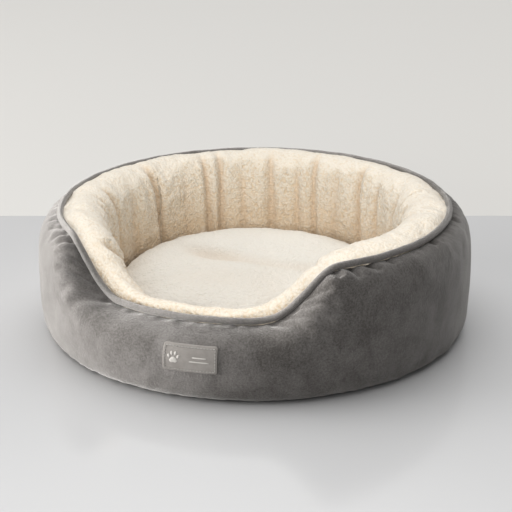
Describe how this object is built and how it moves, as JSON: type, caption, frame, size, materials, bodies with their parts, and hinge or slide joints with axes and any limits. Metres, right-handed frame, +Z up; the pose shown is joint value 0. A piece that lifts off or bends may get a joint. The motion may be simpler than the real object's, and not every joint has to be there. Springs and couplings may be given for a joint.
{
  "type": "pet bed",
  "caption": "Round pet bed: a padded wall with a low front entrance and piped rim round a loose, domed cushion.",
  "frame": {"origin": "on the floor, under the middle of the round base", "axes": "+Z up, -Y towards the low entrance at the front, +X to the right as seen from the front"},
  "size_m": [0.5599, 0.5622, 0.168],
  "materials": {
    "grey_velour": "soft brushed pile",
    "cream_plush": "soft curly pile",
    "cream_cloth": "plain woven",
    "polyester_fibre": "loose fibre",
    "polyester_wadding": "felted sheet",
    "piping_cord": "twisted cord",
    "grey_thread": "matt",
    "cream_thread": "matt",
    "base_cloth": "plain woven",
    "grey_label": "matt grained",
    "label_thread": "matt"
  },
  "bodies": {
    "bed": {"outer_front_panel": "grey_velour", "outer_back_panel": "grey_velour", "lining_front_panel": "cream_plush", "lining_back_panel": "cream_plush", "wall_filling": "polyester_fibre", "rim_piping_cover": "grey_velour", "rim_piping_cord": "piping_cord", "rim_seam_thread": "grey_thread", "side_seam_threads": "grey_thread", "base_cloth": "base_cloth", "base_seam_thread": "grey_thread", "base_wadding": "polyester_wadding", "floor_cloth": "cream_cloth", "floor_seam_thread": "cream_thread", "front_label": "grey_label", "label_stitching": "label_thread"},
    "cushion": {"cushion_top_panel": "cream_plush", "cushion_underside_panel": "cream_cloth", "cushion_filling": "polyester_fibre", "cushion_seam_thread": "cream_thread"}
  },
  "joints": [
    {"name": "cushion_lift", "type": "slide", "parent": "bed", "child": "cushion", "axis": [0, 0, 1], "range_m": [0, 0.2]}
  ]
}
